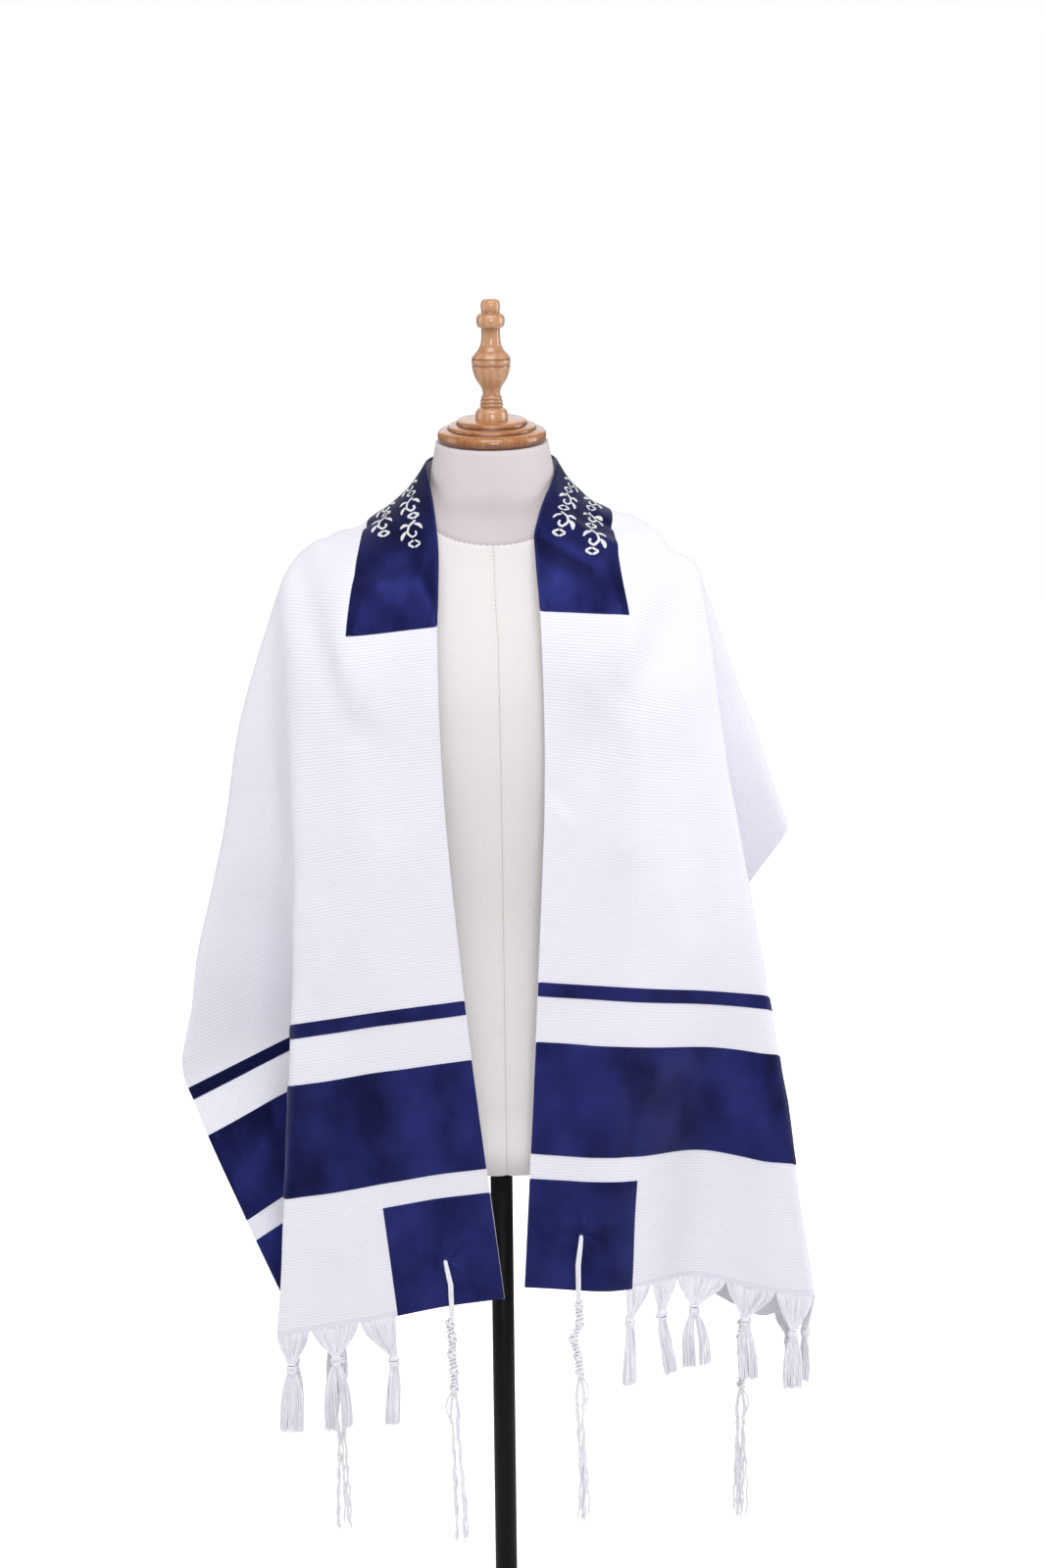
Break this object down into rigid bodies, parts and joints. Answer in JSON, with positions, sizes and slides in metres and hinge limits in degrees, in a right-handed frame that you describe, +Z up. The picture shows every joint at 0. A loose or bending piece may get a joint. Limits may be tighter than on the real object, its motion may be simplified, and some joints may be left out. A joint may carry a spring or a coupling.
{
  "type": "tallit prayer shawl on a limbless dress form",
  "caption": "Fringed prayer shawl draped open at the front over a limbless dress form, which stands on a pole with a round base and carries a turned finial.",
  "frame": {"origin": "centre of the stand's flat underside, on the floor", "axes": "+Z up; the open front of the shawl faces -Y; +X is to the right of someone who looks at the front"},
  "size_m": [0.6617, 0.38, 1.5597],
  "materials": {
    "white_cloth": "white wool in a fine even rib, matt",
    "navy_satin": "navy satin with a soft sheen",
    "fringe_yarn": "loose white yarn, matt",
    "form_linen": "pale smooth linen over padding",
    "pale_wood": "turned wood with a gloss varnish",
    "dark_wood": "stained wood with a gloss varnish",
    "black_metal": "black powder coat"
  },
  "bodies": {
    "root": {"shawl_cloth": "white_cloth", "neckband": "navy_satin", "thin_stripe_left": "navy_satin", "thin_stripe_right": "navy_satin", "wide_band_left": "navy_satin", "wide_band_right": "navy_satin", "corner_patch_left_front": "navy_satin", "corner_patch_left_rear": "navy_satin", "corner_patch_right_front": "navy_satin", "corner_patch_right_rear": "navy_satin", "fringe_left": "fringe_yarn", "fringe_right": "fringe_yarn", "tzitzit_left_front": "fringe_yarn", "tzitzit_left_rear": "fringe_yarn", "tzitzit_right_front": "fringe_yarn", "tzitzit_right_rear": "fringe_yarn", "form_torso": "form_linen", "neck_cap": "dark_wood", "finial": "pale_wood", "stand_pole": "black_metal", "stand_base": "black_metal"}
  },
  "joints": []
}
